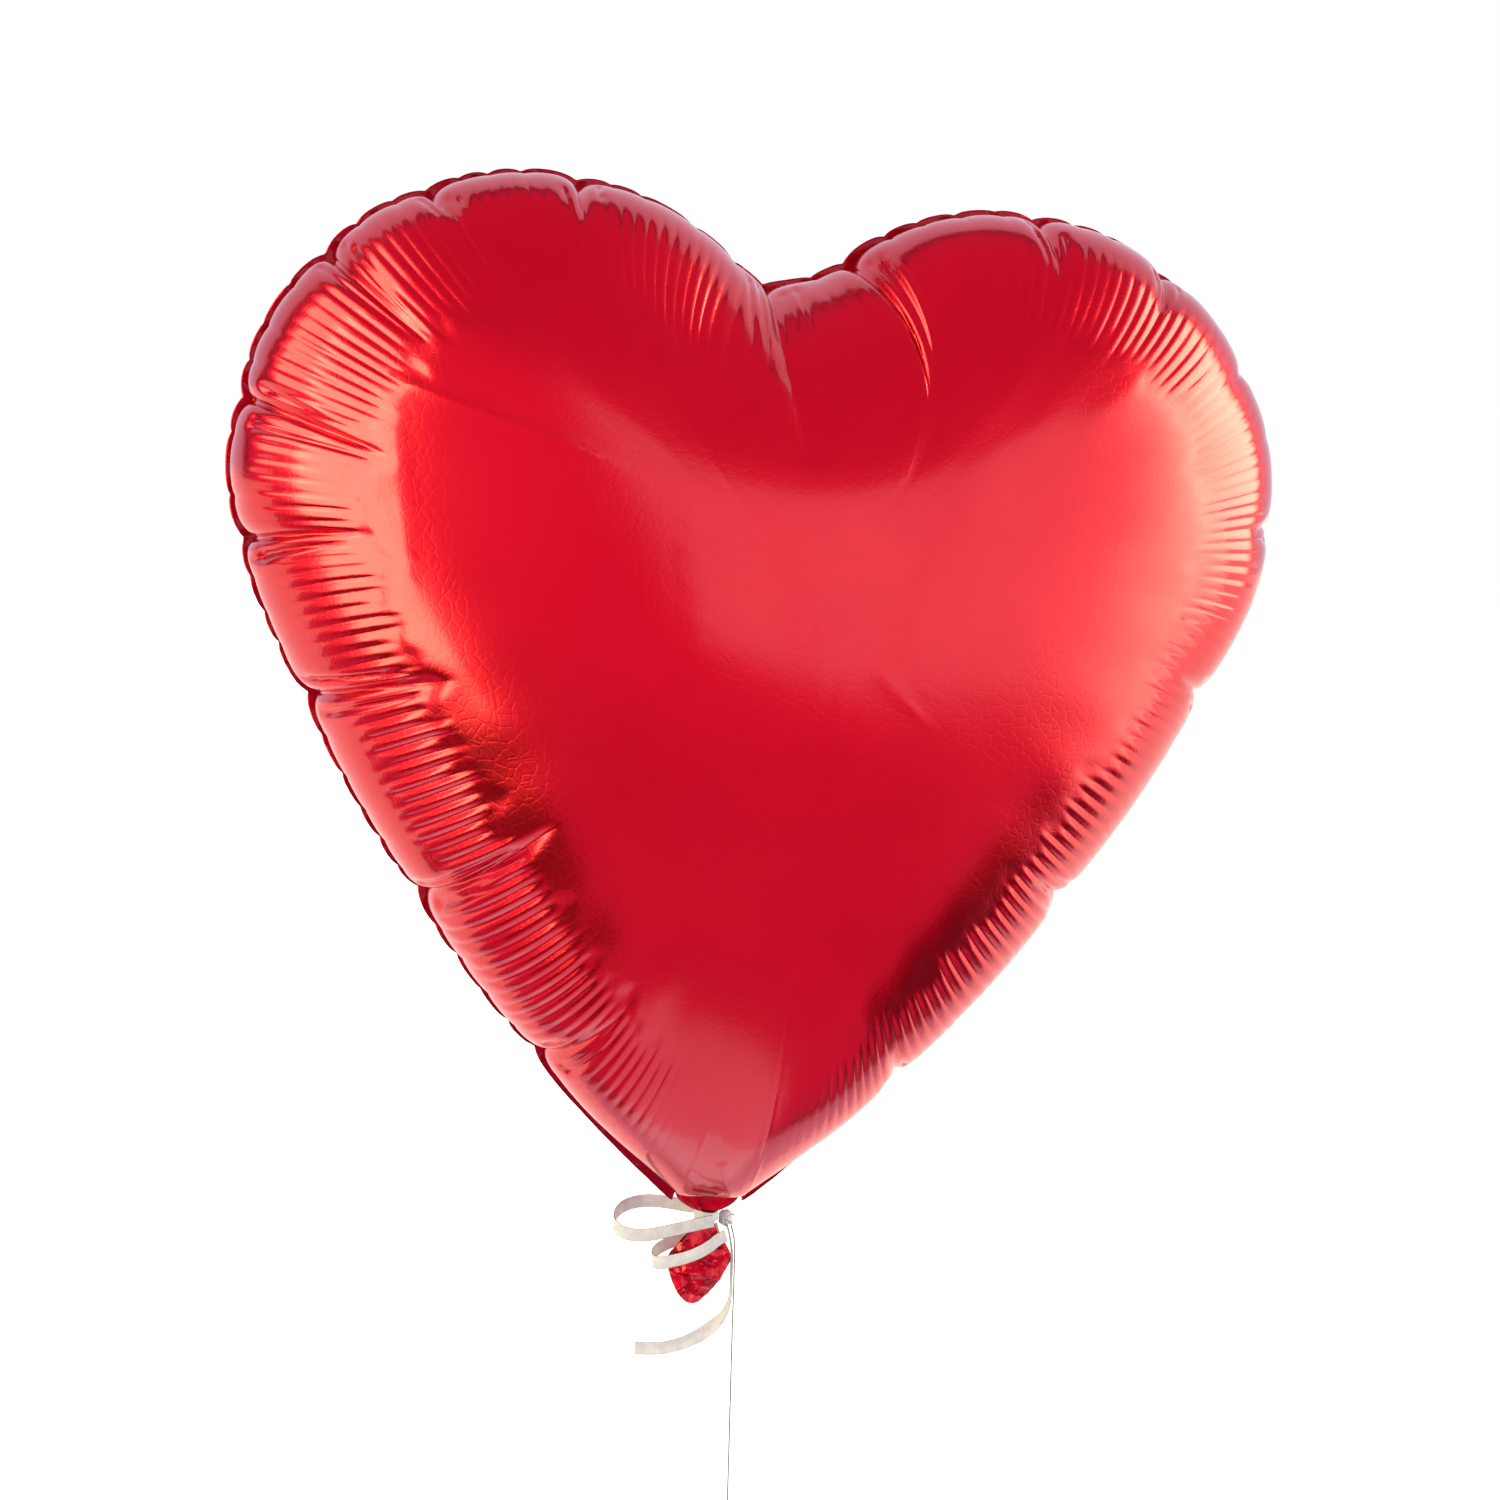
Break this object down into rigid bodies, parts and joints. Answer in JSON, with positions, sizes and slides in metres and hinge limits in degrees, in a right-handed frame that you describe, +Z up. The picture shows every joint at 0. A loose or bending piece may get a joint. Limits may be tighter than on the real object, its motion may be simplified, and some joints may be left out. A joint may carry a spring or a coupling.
{
  "type": "heart-shaped foil balloon",
  "caption": "Heart-shaped balloon of two heat-sealed red metallised films, gas-filled and tied at the neck with flat ribbon that ends in a hand loop.",
  "frame": {"origin": "middle of the ribbon tie round the balloon's neck", "axes": "+Z up the heart from the tie to the notch, the front panel faces -Y, +X to the right as the front is seen"},
  "size_m": [0.374, 0.2074, 0.5209],
  "materials": {
    "red_foil": "mirror-like red metallised film with a clear coat",
    "red_seal": "flat heat-sealed margin of the red metallised film",
    "clear_film": "clear soft polyethylene film",
    "white_ribbon": "satin white curling ribbon with fine lengthwise ribs"
  },
  "bodies": {
    "envelope": {"front_panel": "red_foil", "rear_panel": "red_foil", "edge_seal": "red_seal", "valve_front_film": "clear_film", "valve_rear_film": "clear_film", "neck_gather": "red_foil", "ribbon_wrap": "white_ribbon", "ribbon_upper_loop": "white_ribbon"},
    "tail": {"tail_front_leaf": "red_foil", "tail_rear_leaf": "red_foil", "valve_inlet_sleeve": "clear_film", "ribbon_lower_loop": "white_ribbon", "ribbon_curl": "white_ribbon"},
    "knot": {"ribbon_knot": "white_ribbon"},
    "tether": {"tether_ribbon": "white_ribbon", "loop_knot": "white_ribbon", "hand_loop": "white_ribbon"}
  },
  "joints": [
    {"name": "tail_flex", "type": "hinge", "parent": "envelope", "child": "tail", "pos_m": [0, 0, -0.0031], "axis": [1, 0, 0], "range_deg": [-25, 25]},
    {"name": "tether_swing_side", "type": "hinge", "parent": "envelope", "child": "knot", "pos_m": [0.0073, 0, -0.001], "axis": [0, -1, 0], "range_deg": [0, 60]},
    {"name": "tether_swing_fore", "type": "hinge", "parent": "knot", "child": "tether", "pos_m": [0.0073, 0, -0.001], "axis": [1, 0, 0], "range_deg": [-60, 60]}
  ]
}
